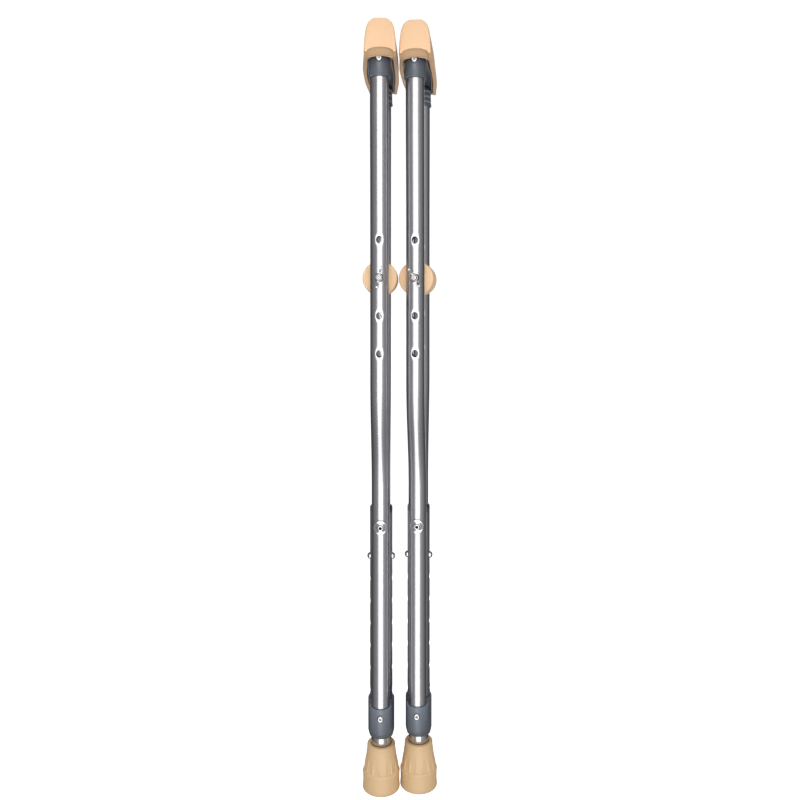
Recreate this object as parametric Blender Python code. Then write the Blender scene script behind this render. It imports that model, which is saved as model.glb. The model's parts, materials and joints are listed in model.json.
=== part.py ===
"""A pair of underarm crutches standing side by side.

Each crutch is modelled once in its own frame, in millimetres: the column axis is Z, the floor is z = 0, the
front is -Y. It is then placed twice in the shared frame, in metres, with the two front ends turned together.
"""

import math

import bmesh
import bpy
from mathutils import Matrix

MM = 0.001
FRONT = -1
REAR = 1

# placing of the two crutches
SIDE_OFFSET = 23.6
DEPTH_OFFSET = 4.0
YAW_DEG = 2.05
WING_TURN_DEG = {"left": -12.0, "right": 32.0}

# bow tubes
BOW_RADIUS = 11.1
BOW_BORE = 9.9
BOW_SEGMENTS = 12
BOW_NEAR = 25.7
BOW_GRIP = 65.0
BOW_TOP = 72.0
BOW_FOOT_Z = 84.0
BOW_HEAD_Z = 902.5
BEND_LOW_Z = 385.0
BEND_HIGH_Z = 520.0
FLARE_LOW_Z = 695.0
FLARE_HIGH_Z = 870.0
BEND_STEPS = 7
GRIP_HOLES_Z = (554.7, 599.6, 644.4, 689.3)
GRIP_Z = 644.4
GRIP_HOLE_RADIUS = 3.6

# column and leg
COLUMN_RADIUS = 14.3
COLUMN_BORE = 13.0
COLUMN_FOOT_Z = 69.3
COLUMN_HEAD_Z = 350.0
COLUMN_SEGMENTS = 16
TOP_HOLE_Z = 293.6
HOLE_PITCH = 28.25
HOLE_COUNT = 7
COLUMN_HOLE_RADIUS = 4.6
LEG_RADIUS = 12.6
LEG_BORE = 11.4
LEG_FOOT_Z = 8.0
LEG_HEAD_Z = 325.0
LEG_HOLE_RADIUS = 4.6
CAP_TOP_Z = 358.5

# column rivet and its saddle washers
COLUMN_RIVET_Z = 339.0
COLUMN_RIVET_RADIUS = 3.0
COLUMN_RIVET_BORE = 1.5
SADDLE_GAP = 0.35
SADDLE_THICKNESS = 1.2
COLUMN_SADDLE_RADIUS = 9.0

# handgrip
GRIP_RADIUS = 21.0
GRIP_HALF_LENGTH = 53.3
GRIP_EDGE = 3.5
CORE_RADIUS = 7.0
CORE_BORE = 3.4
BOLT_RADIUS = 3.0
GRIP_SADDLE_RADIUS = 7.5

# underarm support and pad
SOCKET_RADIUS = 12.9
SOCKET_BORE = 11.45
SOCKET_FOOT_Z = 880.5
SOCKET_RIVET_Z = 898.6
RIVET_SHANK = 2.2
RIVET_HOLE = 2.6
SOCKET_HEAD_Z = 905.0
FLANGE_FOOT_Z = 901.8
FLANGE_THICKNESS = 1.6
SUPPORT_HALF_LENGTH = 84.9
PAD_HALF_LENGTH = 100.0
PAD_TOP_Z = 943.0
PAD_FOOT_Z = 900.6
PAD_SADDLE = 9.0
PAD_HALF_WIDTH = 21.5
PAD_TAPER = 3.2

# bottom bracket
BRACKET_FOOT_Z = 67.5
BRACKET_HEAD_Z = 115.5
BRACKET_COLLAR_RADIUS = 16.6
BRACKET_SOCKET_RADIUS = 13.6
BRACKET_SOCKET_BORE = 11.5
BRACKET_SOCKET_FOOT_Z = 79.2
BRACKET_SOCKET_ROUND = 5.0
BRACKET_RIVET_Z = 104.0

# snap buttons
BUTTON_RADIUS = 4.1
BUTTON_TIP = 17.8
BUTTON_BASE = 8.3
CLIP_FOOT_Z = 252.0


def mesh_object(name, verts, faces):
    """A mesh object made of these points and faces, in millimetres, with its faces turned outwards."""
    mesh = bpy.data.meshes.new(name)
    mesh.from_pydata(verts, [], faces)
    work = bmesh.new()
    work.from_mesh(mesh)
    bmesh.ops.recalc_face_normals(work, faces=work.faces)
    work.to_mesh(mesh)
    work.free()
    obj = bpy.data.objects.new(name, mesh)
    bpy.context.scene.collection.objects.link(obj)
    return obj


def loft(name, rings, closed=False):
    """Joins rings of equal length by quads. The ends are capped unless the last ring meets the first."""
    count = len(rings[0])
    verts = [point for ring in rings for point in ring]
    faces = []
    spans = len(rings) if closed else len(rings) - 1
    for i in range(spans):
        low = i * count
        high = (i + 1) % len(rings) * count
        for j in range(count):
            k = (j + 1) % count
            faces.append((low + j, low + k, high + k, high + j))
    if not closed:
        faces.append(tuple(range(count)))
        faces.append(tuple(len(verts) - count + j for j in range(count)))
    return mesh_object(name, verts, faces)


def circle(radius, z, segments, turn=0.5):
    """Points of a circle about Z. The half-step turn puts a flat side, not an edge, on each axis."""
    step = 2 * math.pi / segments
    return [
        (radius * math.cos((i + turn) * step), radius * math.sin((i + turn) * step), z)
        for i in range(segments)
    ]


def revolved(name, profile, segments, hollow=False):
    """A solid turned about Z from (radius, z) pairs. A hollow one has a closed profile off the axis."""
    return loft(name, [circle(radius, z, segments) for radius, z in profile], closed=hollow)


def turned_to(obj, axis, origin=(0, 0, 0)):
    """Turns the object's Z axis to +X, -X, +Y or -Y and moves it to the origin given."""
    turn = {
        "+X": Matrix.Rotation(math.pi / 2, 4, "Y"),
        "-X": Matrix.Rotation(-math.pi / 2, 4, "Y"),
        "+Y": Matrix.Rotation(-math.pi / 2, 4, "X"),
        "-Y": Matrix.Rotation(math.pi / 2, 4, "X"),
    }[axis]
    obj.data.transform(Matrix.Translation(origin) @ turn)
    return obj


def rod(radius, low, high, segments, axis="+Z", origin=(0, 0, 0)):
    """A plain cylinder from low to high along the axis through the origin given. It is a helper for a Boolean."""
    obj = revolved("helper", [(radius, low), (radius, high)], segments)
    if axis == "+Z":
        obj.data.transform(Matrix.Translation(origin))
        return obj
    return turned_to(obj, axis, origin)


def combined(obj, operation, others):
    """Applies one exact Boolean per helper and removes the helpers."""
    for other in others:
        modifier = obj.modifiers.new("combine", "BOOLEAN")
        modifier.operation = operation
        modifier.solver = "EXACT"
        modifier.object = other
    bpy.context.view_layer.update()
    graph = bpy.context.evaluated_depsgraph_get()
    mesh = bpy.data.meshes.new_from_object(obj.evaluated_get(graph))
    obj.modifiers.clear()
    obj.data = mesh
    for other in others:
        bpy.data.objects.remove(other)
    return obj


def cut(obj, *cutters):
    return combined(obj, "DIFFERENCE", cutters)


def joined(obj, *others):
    return combined(obj, "UNION", others)


def facing(obj, side):
    """Leaves a piece made for the front as it is, or turns it about the column axis to serve at the rear."""
    if side == REAR:
        obj.data.transform(Matrix.Rotation(math.pi, 4, "Z"))
    return obj


def smooth(t):
    return t * t * (3 - 2 * t)


def bow_offset(z):
    """How far the bow tube's centre line is from the column axis at this height."""
    if z <= BEND_HIGH_Z:
        t = max(0.0, (z - BEND_LOW_Z) / (BEND_HIGH_Z - BEND_LOW_Z))
        return BOW_NEAR + (BOW_GRIP - BOW_NEAR) * smooth(t)
    t = min(1.0, max(0.0, (z - FLARE_LOW_Z) / (FLARE_HIGH_Z - FLARE_LOW_Z)))
    return BOW_GRIP + (BOW_TOP - BOW_GRIP) * smooth(t)


def bow_heights():
    bend = [
        BEND_LOW_Z + (BEND_HIGH_Z - BEND_LOW_Z) * i / BEND_STEPS for i in range(BEND_STEPS + 1)
    ]
    middle = (FLARE_LOW_Z + FLARE_HIGH_Z) / 2
    return [BOW_FOOT_Z, *bend, FLARE_LOW_Z, middle, FLARE_HIGH_Z, BOW_HEAD_Z]


def bow_ring(radius, z, side):
    """A circle square to the tube's centre line."""
    step = 1.0
    if z in (BOW_FOOT_Z, BOW_HEAD_Z):
        slope = 0.0
    else:
        slope = (bow_offset(z + step) - bow_offset(z - step)) / (2 * step)
    tilt = Matrix.Rotation(-side * math.atan(slope), 4, "X")
    place = Matrix.Translation((0, side * bow_offset(z), z)) @ tilt
    return [tuple(place @ point) for point in vectors(circle(radius, 0, BOW_SEGMENTS))]


def vectors(points):
    return [Matrix.Translation(point).to_translation() for point in points]


def bow_tube(side):
    outer = [bow_ring(BOW_RADIUS, z, side) for z in bow_heights()]
    inner = [bow_ring(BOW_BORE, z, side) for z in reversed(bow_heights())]
    tube = loft("tube", outer + inner, closed=True)
    reach = 14.0
    holes = [
        rod(GRIP_HOLE_RADIUS, -reach, reach, 8, "+Y", (0, side * bow_offset(z), z))
        for z in GRIP_HOLES_Z
    ]
    holes.append(rod(GRIP_HOLE_RADIUS, -reach, reach, 8, "+Y", (0, side * BOW_NEAR, COLUMN_RIVET_Z)))
    outward = "-Y" if side == FRONT else "+Y"
    holes.append(rod(RIVET_HOLE, 6, reach, 8, outward, (0, side * BOW_NEAR, BRACKET_RIVET_Z)))
    holes.append(rod(RIVET_HOLE, 6, reach, 8, outward, (0, side * BOW_TOP, SOCKET_RIVET_Z)))
    return cut(tube, *holes)


def column_tube():
    tube = revolved(
        "tube",
        [
            (COLUMN_RADIUS, COLUMN_FOOT_Z),
            (COLUMN_RADIUS, COLUMN_HEAD_Z),
            (COLUMN_BORE, COLUMN_HEAD_Z),
            (COLUMN_BORE, COLUMN_FOOT_Z),
        ],
        COLUMN_SEGMENTS,
        hollow=True,
    )
    reach = 18.0
    holes = [
        rod(COLUMN_HOLE_RADIUS, -reach, reach, 8, "+X", (0, 0, TOP_HOLE_Z - HOLE_PITCH * i))
        for i in range(HOLE_COUNT)
    ]
    holes.append(rod(GRIP_HOLE_RADIUS, -reach, reach, 8, "+Y", (0, 0, COLUMN_RIVET_Z)))
    return cut(tube, *holes)


def column_cap():
    stem = 12.7
    stem_foot = COLUMN_HEAD_Z - 5.0
    return revolved(
        "cap",
        [
            (stem, stem_foot),
            (stem, COLUMN_HEAD_Z + 0.3),
            (COLUMN_RADIUS, COLUMN_HEAD_Z + 0.3),
            (COLUMN_RADIUS, CAP_TOP_Z - 4.5),
            (COLUMN_RADIUS - 1.4, CAP_TOP_Z - 1.4),
            (COLUMN_RADIUS - 4.5, CAP_TOP_Z),
        ],
        COLUMN_SEGMENTS,
    )


def saddle_washer(disc_radius, hole_radius, offset, z, side):
    """A round washer bent over the outer side of a bow tube."""
    inner = BOW_RADIUS + SADDLE_GAP
    outer = inner + SADDLE_THICKNESS
    centre = (0, -offset, z)
    washer = rod(disc_radius, 3.0, 20.0, 16, "-Y", centre)
    shell = rod(outer, -20, 20, 28, origin=centre)
    hollow = rod(inner, -21, 21, 28, origin=centre)
    bore = rod(hole_radius, 1.0, 22.0, 12, "-Y", centre)
    return facing(cut(combined(washer, "INTERSECT", [shell]), hollow, bore), side)


def column_washer(side):
    bore = COLUMN_RIVET_RADIUS + 0.3
    return saddle_washer(COLUMN_SADDLE_RADIUS, bore, BOW_NEAR, COLUMN_RIVET_Z, side)


def column_rivet():
    """The tubular rivet that ties both bow tubes to the column."""
    seat = BOW_NEAR + BOW_RADIUS + SADDLE_GAP + SADDLE_THICKNESS + 0.3
    head = 3.9
    crown = seat + 1.8
    profile = [
        (COLUMN_RIVET_BORE, -crown),
        (head - 0.9, -crown),
        (head, -seat - 0.6),
        (head, -seat),
        (COLUMN_RIVET_RADIUS, -seat),
        (COLUMN_RIVET_RADIUS, seat),
        (head, seat),
        (head, seat + 0.6),
        (head - 0.9, crown),
        (COLUMN_RIVET_BORE, crown),
    ]
    rivet = revolved("rivet", profile, 14, hollow=True)
    return turned_to(rivet, "+Y", (0, 0, COLUMN_RIVET_Z))


def handgrip():
    """A foam sleeve with rounded ends, on the plastic core."""
    end = GRIP_HALF_LENGTH
    bore = CORE_RADIUS + 0.3
    half = [
        (bore, end),
        (GRIP_RADIUS - GRIP_EDGE, end),
        (GRIP_RADIUS - 1.0, end - 1.0),
        (GRIP_RADIUS, end - GRIP_EDGE),
    ]
    profile = half + [(radius, -y) for radius, y in reversed(half)]
    return turned_to(revolved("grip", profile, 24, hollow=True), "+Y", (0, 0, GRIP_Z))


def grip_core():
    end = GRIP_HALF_LENGTH
    profile = [(CORE_BORE, end), (CORE_RADIUS, end), (CORE_RADIUS, -end), (CORE_BORE, -end)]
    return turned_to(revolved("core", profile, 16, hollow=True), "+Y", (0, 0, GRIP_Z))


def grip_seat():
    """Distance from the column axis to the outer face of a grip washer."""
    return BOW_GRIP + BOW_RADIUS + SADDLE_GAP + SADDLE_THICKNESS


def grip_bolt():
    """A dome-headed bolt: its head is at the rear and its end carries the wing nut."""
    seat = grip_seat() + 0.3
    head = 6.6
    profile = [
        (BOLT_RADIUS - 0.6, -seat - 14.0),
        (BOLT_RADIUS, -seat - 13.0),
        (BOLT_RADIUS, seat),
        (head, seat),
        (head, seat + 1.0),
        (head * 0.8, seat + 2.6),
        (head * 0.4, seat + 3.6),
    ]
    return turned_to(revolved("bolt", profile, 14), "+Y", (0, 0, GRIP_Z))


def grip_washer(side):
    return saddle_washer(GRIP_SADDLE_RADIUS, BOLT_RADIUS + 0.3, BOW_GRIP, GRIP_Z, side)


def wing_nut(turn_deg):
    """A hub with two flared wings. Z is the screw axis until it is turned to point to the front."""
    hub = revolved("nut", [(5.6, 0), (5.6, 2.0), (4.6, 7.6), (4.2, 8.4)], 16)
    outline = [(2.0, 1.2), (7.0, 2.2), (11.4, 6.4), (13.1, 10.6), (12.2, 13.0), (10.0, 12.6), (6.6, 8.4), (2.0, 7.6)]
    half_width = 1.3
    wings = []
    for side in (-1, 1):
        rings = [
            [(side * radius, y, height) for radius, height in outline]
            for y in (-half_width, half_width)
        ]
        wings.append(loft("helper", rings))
    nut = joined(hub, *wings)
    nut = cut(nut, rod(BOLT_RADIUS + 0.15, -2, 12, 14))
    nut.data.transform(Matrix.Rotation(math.radians(90 + turn_deg), 4, "Z"))
    return turned_to(nut, "-Y", (0, -grip_seat() - 0.3, GRIP_Z))


def arch(half_width, spring_z, rise, steps):
    """Points over an elliptical arch, from its left springing to its right one."""
    points = []
    for i in range(steps + 1):
        angle = math.pi * (1 - i / steps)
        points.append((half_width * math.cos(angle), spring_z + rise * math.sin(angle)))
    return points


def channel_ring(y, half_width):
    """Section of the grey channel: an arched top and two short flanges."""
    inside = half_width - FLANGE_THICKNESS
    outer = [(-half_width, FLANGE_FOOT_Z), *arch(half_width, 902.6, 7.0, 8), (half_width, FLANGE_FOOT_Z)]
    inner = [(inside, FLANGE_FOOT_Z), *reversed(arch(inside, 902.1, 5.8, 8)), (-inside, FLANGE_FOOT_Z)]
    return [(x, y, z) for x, z in outer + inner]


def underarm_support():
    stations = [(-1, 14.6), (-0.7, 14.7), (-0.35, 15.4), (0, 15.7), (0.35, 15.4), (0.7, 14.7), (1, 14.6)]
    support = loft("support", [channel_ring(t * SUPPORT_HALF_LENGTH, width) for t, width in stations])
    sockets = []
    bores = []
    for side in (FRONT, REAR):
        centre = (0, side * BOW_TOP, 0)
        outward = "-Y" if side == FRONT else "+Y"
        sockets.append(rod(SOCKET_RADIUS, SOCKET_FOOT_Z, SOCKET_HEAD_Z, 20, origin=centre))
        bores.append(rod(SOCKET_BORE, SOCKET_FOOT_Z - 5, 903.3, 16, origin=centre))
        bores.append(rod(RIVET_HOLE, 5, 20, 8, outward, (0, side * BOW_TOP, SOCKET_RIVET_Z)))
    return cut(joined(support, *sockets), *bores)


def short_rivet(offset, z, socket_radius, side):
    """A round-headed rivet through a socket wall and one wall of its tube."""
    head = 3.6
    seat = offset + socket_radius + 0.3
    profile = [
        (RIVET_SHANK, -(offset + 7.2)),
        (RIVET_SHANK, -seat),
        (head, -seat),
        (head, -seat - 0.7),
        (head * 0.6, -seat - 1.7),
    ]
    return facing(turned_to(revolved("rivet", profile, 12), "+Y", (0, 0, z)), side)


def pad_outline(half_width, inset, top_z):
    """Outer half section of the pad, from the top centre down to its full width, as shares of width and height."""
    shape = [
        (0.0, 0.0),
        (0.37, 0.005),
        (0.58, 0.057),
        (0.74, 0.137),
        (0.84, 0.236),
        (0.91, 0.40),
        (0.965, 0.637),
        (1.0, 0.9),
    ]
    height = top_z - PAD_FOOT_Z
    return [(x * (half_width - inset), top_z - share * height - inset * (1 - x)) for x, share in shape]


def pad_ring(y, inset, opening):
    """Section of the pad: a domed block with an arched slot open to below."""
    top_z = PAD_TOP_Z - PAD_SADDLE * (1 - smooth(abs(y) / PAD_HALF_LENGTH))
    half_width = PAD_HALF_WIDTH - PAD_TAPER * smooth((abs(y) - 25) / 75)
    half = pad_outline(half_width, inset, top_z)
    full = half_width - inset
    outer = [(-full, PAD_FOOT_Z)] + [(-x, z) for x, z in reversed(half)] + half[1:] + [(full, PAD_FOOT_Z)]
    slot, spring_z, rise = opening
    inner = [(slot, PAD_FOOT_Z), *reversed(arch(slot, spring_z, rise, 8)), (-slot, PAD_FOOT_Z)]
    return [(x, y, z) for x, z in outer + inner]


def underarm_pad():
    half = [
        (100.0, 1.4, (15.6, 902.4, 7.2)),
        (99.2, 0.5, (15.6, 902.2, 7.1)),
        (97.0, 0.0, (15.5, 902.0, 6.8)),
        (85.5, 0.0, (15.0, 901.2, 3.6)),
        (85.2, 0.0, (15.6, 902.8, 7.4)),
        (62.0, 0.0, (16.3, 902.8, 7.4)),
        (30.0, 0.0, (17.3, 902.8, 7.4)),
    ]
    stations = [(-y, *rest) for y, *rest in half] + [(y, *rest) for y, *rest in reversed(half)]
    return loft("pad", [pad_ring(*station) for station in stations])


def bottom_bracket():
    """Two tube sockets on a collar that holds the foot of the column and guides the leg."""
    collar = revolved(
        "bracket",
        [
            (BRACKET_COLLAR_RADIUS - 1.2, BRACKET_FOOT_Z),
            (BRACKET_COLLAR_RADIUS, BRACKET_FOOT_Z + 1.2),
            (BRACKET_COLLAR_RADIUS, BRACKET_HEAD_Z),
        ],
        20,
    )
    sockets = []
    bores = []
    for side in (FRONT, REAR):
        centre = (0, side * BOW_NEAR, 0)
        outward = "-Y" if side == FRONT else "+Y"
        socket = revolved(
            "helper",
            [
                (BRACKET_SOCKET_RADIUS - BRACKET_SOCKET_ROUND, BRACKET_SOCKET_FOOT_Z),
                (BRACKET_SOCKET_RADIUS - 1.4, BRACKET_SOCKET_FOOT_Z + 1.9),
                (BRACKET_SOCKET_RADIUS, BRACKET_SOCKET_FOOT_Z + BRACKET_SOCKET_ROUND),
                (BRACKET_SOCKET_RADIUS, BRACKET_HEAD_Z + 0.8),
            ],
            16,
        )
        socket.data.transform(Matrix.Translation(centre))
        sockets.append(socket)
        bores.append(rod(BRACKET_SOCKET_BORE, BOW_FOOT_Z - 0.3, 130, 16, origin=centre))
        bores.append(rod(RIVET_HOLE, 5, 20, 8, outward, (0, side * BOW_NEAR, BRACKET_RIVET_Z)))
    bores.append(rod(COLUMN_RADIUS + 0.3, COLUMN_FOOT_Z - 0.3, 130, 20))
    bores.append(rod(LEG_RADIUS + 0.3, 50, 130, 20))
    return cut(joined(collar, *sockets), *bores)


def leg_tube():
    tube = revolved(
        "tube",
        [
            (LEG_RADIUS, LEG_FOOT_Z),
            (LEG_RADIUS, LEG_HEAD_Z),
            (LEG_BORE, LEG_HEAD_Z),
            (LEG_BORE, LEG_FOOT_Z),
        ],
        COLUMN_SEGMENTS,
        hollow=True,
    )
    return cut(tube, rod(LEG_HOLE_RADIUS, -18, 18, 8, "+X", (0, 0, TOP_HOLE_Z)))


def snap_button(axis):
    profile = [
        (5.0, BUTTON_BASE),
        (5.0, BUTTON_BASE + 1.4),
        (BUTTON_RADIUS, BUTTON_BASE + 1.4),
        (BUTTON_RADIUS, BUTTON_TIP - 2.6),
        (BUTTON_RADIUS * 0.8, BUTTON_TIP - 1.0),
        (BUTTON_RADIUS * 0.4, BUTTON_TIP),
    ]
    return turned_to(revolved("button", profile, 12), axis, (0, 0, TOP_HOLE_Z))


def spring_clip():
    """A bent strip inside the leg: its two arms press the buttons outwards."""
    half_width = 3.6
    thickness = 0.7
    outer = [(7.9, TOP_HOLE_Z + 5.5), (7.9, TOP_HOLE_Z - 6.0), (3.6, CLIP_FOOT_Z + 3.0), (1.8, CLIP_FOOT_Z)]
    inner = [(x - thickness, z) for x, z in outer[:-1]] + [(0.9, CLIP_FOOT_Z + thickness)]
    outline = (
        [(-x, z) for x, z in outer]
        + list(reversed(outer))
        + inner
        + [(-x, z) for x, z in reversed(inner)]
    )
    rings = [[(x, y, z) for x, z in outline] for y in (-half_width, half_width)]
    return loft("clip", rings)


def rubber_tip():
    bore = LEG_RADIUS + 0.3
    profile = [
        (bore - 2.0, 6.2),
        (bore, 6.3),
        (bore, 57.0),
        (16.9, 57.0),
        (17.7, 55.2),
        (18.8, 45.0),
        (20.1, 36.0),
        (21.3, 26.5),
        (23.3, 22.5),
        (23.1, 9.0),
        (23.5, 2.6),
        (22.4, 0.0),
        (17.0, 0.0),
        (16.0, 1.6),
    ]
    return revolved("tip", profile, 20)


def tip_washer():
    return revolved("washer", [(12.3, 6.6), (12.3, 7.7)], 20)


def crutch(side, wing_turn_deg):
    """Every node of one crutch by name, in its own frame."""
    inner, outer = ("+X", "-X") if side < 0 else ("-X", "+X")
    return {
        "underarm_pad": underarm_pad(),
        "underarm_support": underarm_support(),
        "front_support_rivet": short_rivet(BOW_TOP, SOCKET_RIVET_Z, SOCKET_RADIUS, FRONT),
        "rear_support_rivet": short_rivet(BOW_TOP, SOCKET_RIVET_Z, SOCKET_RADIUS, REAR),
        "front_bow_tube": bow_tube(FRONT),
        "rear_bow_tube": bow_tube(REAR),
        "handgrip": handgrip(),
        "handgrip_core": grip_core(),
        "handgrip_bolt": grip_bolt(),
        "front_grip_washer": grip_washer(FRONT),
        "rear_grip_washer": grip_washer(REAR),
        "wing_nut": wing_nut(wing_turn_deg),
        "column_tube": column_tube(),
        "column_top_cap": column_cap(),
        "column_rivet": column_rivet(),
        "front_column_washer": column_washer(FRONT),
        "rear_column_washer": column_washer(REAR),
        "bottom_bracket": bottom_bracket(),
        "front_bracket_rivet": short_rivet(BOW_NEAR, BRACKET_RIVET_Z, BRACKET_SOCKET_RADIUS, FRONT),
        "rear_bracket_rivet": short_rivet(BOW_NEAR, BRACKET_RIVET_Z, BRACKET_SOCKET_RADIUS, REAR),
        "leg_tube": leg_tube(),
        "inner_snap_button": snap_button(inner),
        "outer_snap_button": snap_button(outer),
        "button_spring_clip": spring_clip(),
        "rubber_tip": rubber_tip(),
        "tip_washer": tip_washer(),
    }


def place(obj, name, side):
    """Names a node and moves it from its crutch's frame to the shared frame, in metres."""
    turn = Matrix.Rotation(math.radians(-side * YAW_DEG), 4, "Z")
    shift = Matrix.Translation((side * SIDE_OFFSET, side * DEPTH_OFFSET, 0))
    obj.data.transform(Matrix.Scale(MM, 4) @ shift @ turn)
    obj.name = name
    obj.data.name = name
    obj.data.shade_smooth()
    obj.data.set_sharp_from_angle(angle=math.radians(35))


def clear_scene():
    for obj in list(bpy.data.objects):
        bpy.data.objects.remove(obj)


def main():
    clear_scene()
    for prefix, side in (("left", -1), ("right", 1)):
        for name, obj in crutch(side, WING_TURN_DEG[prefix]).items():
            place(obj, f"{prefix}_{name}", side)


main()
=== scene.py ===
"""Looks for the pair of underarm crutches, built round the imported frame.

Each crutch is described once in its own frame, in millimetres: the column axis is Z, the sole is at z = 0 and
the front is -Y. crutch_matrix() then gives the place of that frame among the CAD nodes, in metres.
"""

import json
import math

import bmesh
import bpy
from mathutils import Matrix, Vector

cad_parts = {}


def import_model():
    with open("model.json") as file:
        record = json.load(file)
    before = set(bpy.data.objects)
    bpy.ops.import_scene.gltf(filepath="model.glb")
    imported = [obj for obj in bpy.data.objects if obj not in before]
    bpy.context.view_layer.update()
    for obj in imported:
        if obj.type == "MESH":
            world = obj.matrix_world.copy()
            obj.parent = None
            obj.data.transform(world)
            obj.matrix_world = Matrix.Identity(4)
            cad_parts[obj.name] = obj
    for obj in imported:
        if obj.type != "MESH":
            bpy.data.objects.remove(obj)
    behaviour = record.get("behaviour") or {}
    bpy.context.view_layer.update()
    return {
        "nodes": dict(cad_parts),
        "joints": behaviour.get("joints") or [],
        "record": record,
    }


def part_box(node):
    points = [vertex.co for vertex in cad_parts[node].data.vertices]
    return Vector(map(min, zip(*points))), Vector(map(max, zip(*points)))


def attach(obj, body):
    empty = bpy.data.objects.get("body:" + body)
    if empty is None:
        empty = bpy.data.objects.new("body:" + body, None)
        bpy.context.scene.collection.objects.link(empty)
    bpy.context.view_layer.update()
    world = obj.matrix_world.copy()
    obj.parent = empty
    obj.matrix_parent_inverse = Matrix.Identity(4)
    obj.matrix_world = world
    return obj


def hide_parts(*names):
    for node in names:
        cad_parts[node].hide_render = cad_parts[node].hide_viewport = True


MM = 0.001
FRONT = -1
REAR = 1

# bow tubes
BOW_RADIUS = 11.1
BOW_WALL = 1.2
BOW_SEGMENTS = 64
BOW_NEAR = 25.7
BOW_GRIP = 65.0
BOW_TOP = 72.0
BOW_FOOT_Z = 84.0
BOW_HEAD_Z = 902.5
BEND_LOW_Z = 385.0
BEND_HIGH_Z = 520.0
FLARE_LOW_Z = 695.0
FLARE_HIGH_Z = 870.0
GRIP_HOLES_Z = (554.7, 599.6, 644.4, 689.3)
GRIP_Z = 644.4
GRIP_HOLE_HALF_WIDTH = 3.8
GRIP_HOLE_HALF_HEIGHT = 4.5
PRESSED_DEPTH = 1.15
PRESSED_REACH = 7.8

# column and leg
COLUMN_RADIUS = 14.3
COLUMN_BORE = 13.0
COLUMN_FOOT_Z = 69.3
COLUMN_HEAD_Z = 350.0
TOP_HOLE_Z = 293.6
HOLE_PITCH = 28.25
HOLE_COUNT = 7
LEG_RADIUS = 12.6
LEG_BORE = 11.4
LEG_FOOT_Z = 8.0
LEG_HEAD_Z = 325.0
CAP_TOP_Z = 358.5
CAP_STEM_RADIUS = 12.7
CAP_STEM_LENGTH = 5.0
CAP_SHOULDER_RADIUS = 5.2
COLUMN_RIVET_Z = 339.0

# radius of each round hole
BUTTON_HOLE = 4.6
COLUMN_RIVET_HOLE = 3.6
SHORT_RIVET_HOLE = 2.6

# handgrip
GRIP_RADIUS = 21.3
GRIP_HALF_LENGTH = 53.3
GRIP_BORE = 7.3
GRIP_FULLNESS = 0.3
GRIP_END_ROUND = 2.3
BOLT_RADIUS = 3.0
BOLT_HEAD_RADIUS = 6.6
WING_HALF_THICKNESS = 1.0
WING_TURN_DEG = {"left": -12.0, "right": 32.0}

# washers and rivets
SADDLE_GAP = 0.35
SADDLE_THICKNESS = 1.2
SEAT_GAP = 0.3
COLUMN_RIVET_HEAD = 3.9
SHORT_RIVET_HEAD = 3.7
SHORT_RIVET_OVAL = 1.12

# support and pad
SOCKET_RADIUS = 12.9
SOCKET_BORE = 11.45
SOCKET_FOOT_Z = 880.5
SOCKET_RIVET_Z = 901.0
SOCKET_HEAD_Z = 905.0
SOCKET_BORE_HEAD_Z = 903.3
RIB_HEIGHTS = (885.6, 892.6, 899.6)
RIB_REACH = 2.2
RIB_HALF_HEIGHT = 1.3
FLANGE_FOOT_Z = 901.8
FLANGE_THICKNESS = 1.6
SUPPORT_HALF_LENGTH = 84.9
CHANNEL_HALF_WIDTH = 16.9
CHANNEL_TAPER = 2.2
CHANNEL_TAPER_LENGTH = 70.0
CHANNEL_SPRING_Z = 902.6
CHANNEL_RISE = 7.0
CHANNEL_INNER_SPRING_Z = 902.2
CHANNEL_INNER_RISE = 5.7
ARCH_STEPS = 28
PAD_HALF_LENGTH = 100.0
PAD_TOP_Z = 943.0
PAD_FOOT_Z = 900.6
PAD_SADDLE = 9.0
PAD_HALF_WIDTH = 22.2
PAD_TAPER = 3.4
PAD_FOOT_RISE = 3.2
PAD_FLOOR = 1.0
PAD_END_ROUND = 2.6
PAD_END_INSET = 1.4
SLOT_HALF_WIDTH = 17.9
SLOT_SPRING_Z = 902.8
SLOT_RISE = 7.4
LIP_START = 87.6
LIP_HALF_WIDTH = 15.6
MOUTH_RADIUS = 15.6
MOUTH_CROWN = 1.6
PAD_SKEW = 1.7

# bottom bracket
BRACKET_FOOT_Z = 67.5
BRACKET_HEAD_Z = 115.5
BRACKET_COLLAR_RADIUS = 16.6
BRACKET_SOCKET_RADIUS = 13.6
BRACKET_SOCKET_FOOT_Z = 79.2
BRACKET_SOCKET_BORE = 11.5
BRACKET_BOWL_DEPTH = 7.0
BRACKET_FIT = 0.3
BRACKET_RIVET_Z = 106.0

# snap buttons
BUTTON_RADIUS = 4.1
BUTTON_TIP = 17.8
BUTTON_DOME = 3.4
BUTTON_BASE = 8.3
BUTTON_FLANGE_RADIUS = 5.0
BUTTON_FLANGE_THICKNESS = 1.4

# rubber tip
TIP_BORE = 12.9
TIP_SEGMENTS = 180
FLUTE_COUNT = 15
FLUTE_DEPTH = 1.15
FLUTE_FOOT_Z = 24.4
FLUTE_FADE_Z = 27.0
FLUTE_FADE_LENGTH = 18.0

# camera and light, in metres
CAMERA_DISTANCE = 1.047
CAMERA_AZIMUTH_DEG = 2.65
CAMERA_HEIGHT = 0.622
CAMERA_LENS_MM = 37.0
CAMERA_SHIFT_Y = -0.129
FLOOR_Z = -0.172
FLOOR_HALF = 30.0


# ---------------------------------------------------------------- mesh building, in millimetres


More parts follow.
